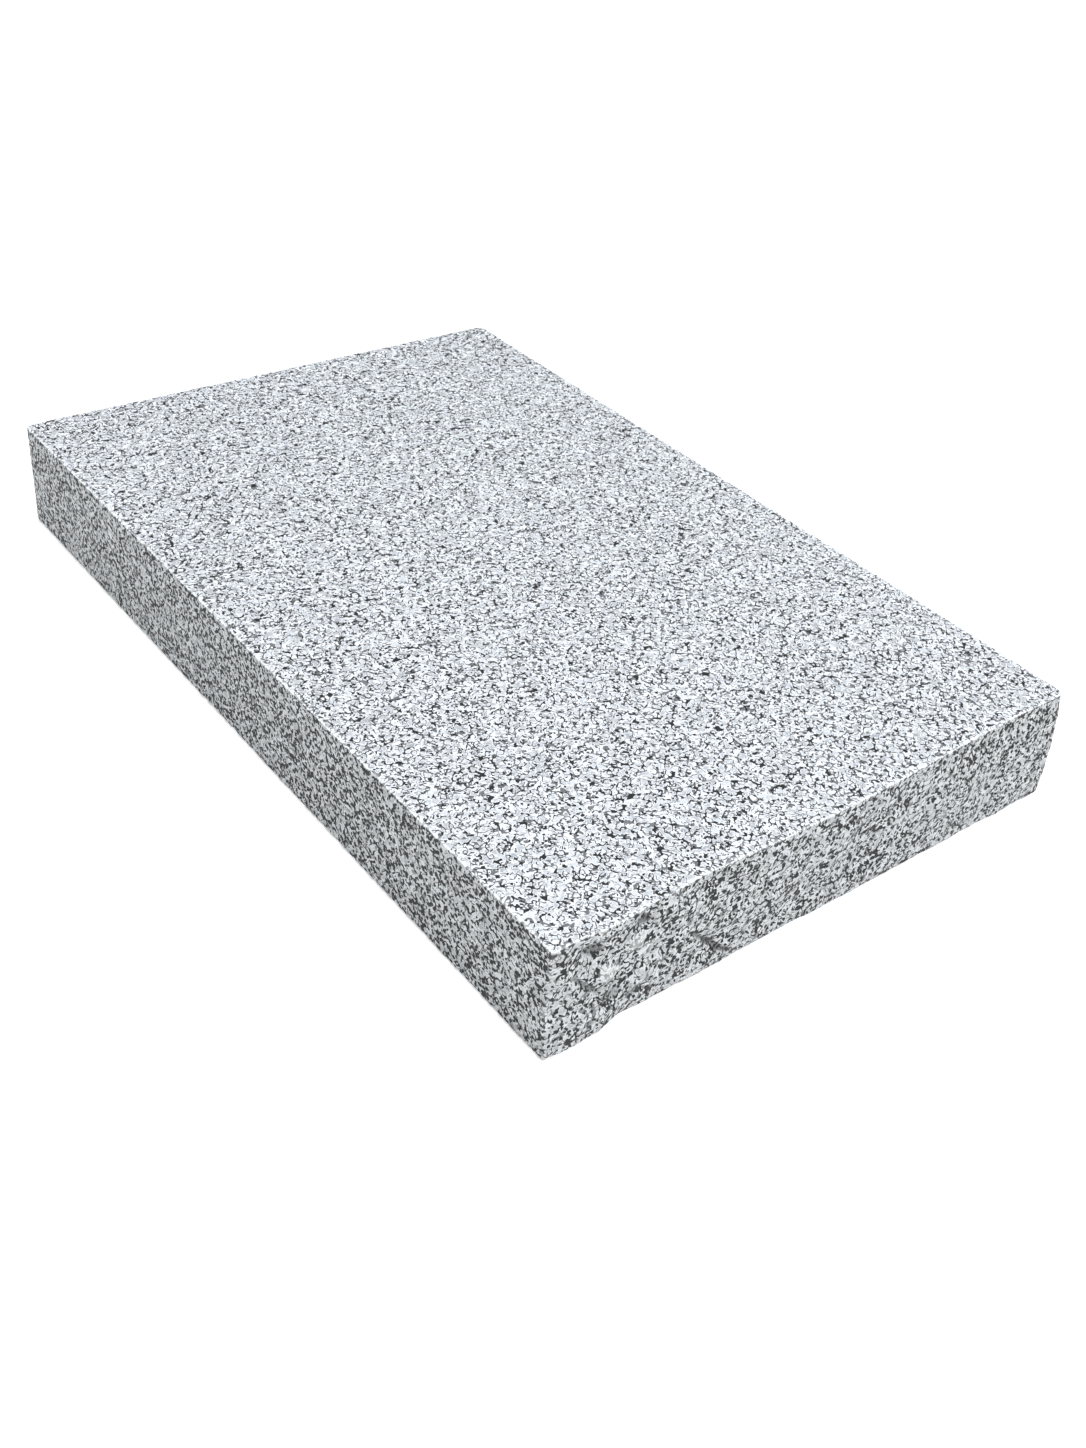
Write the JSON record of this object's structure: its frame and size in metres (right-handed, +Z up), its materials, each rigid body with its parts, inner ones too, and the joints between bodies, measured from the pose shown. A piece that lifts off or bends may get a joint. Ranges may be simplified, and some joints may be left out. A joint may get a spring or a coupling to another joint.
{
  "type": "granite slab",
  "caption": "Rectangular slab of light grey flecked granite with a flamed top, sawn sides and one split, rock-faced end.",
  "frame": {"origin": "on the bed, in the middle of the slab's overall length and width", "axes": "+Z up out of the top; +Y along the length towards the sawn end, with the split end at -Y; +X across the width"},
  "size_m": [0.4, 0.614, 0.075],
  "materials": {
    "granite": "matte"
  },
  "bodies": {
    "root": {"slab": "granite"}
  },
  "joints": []
}
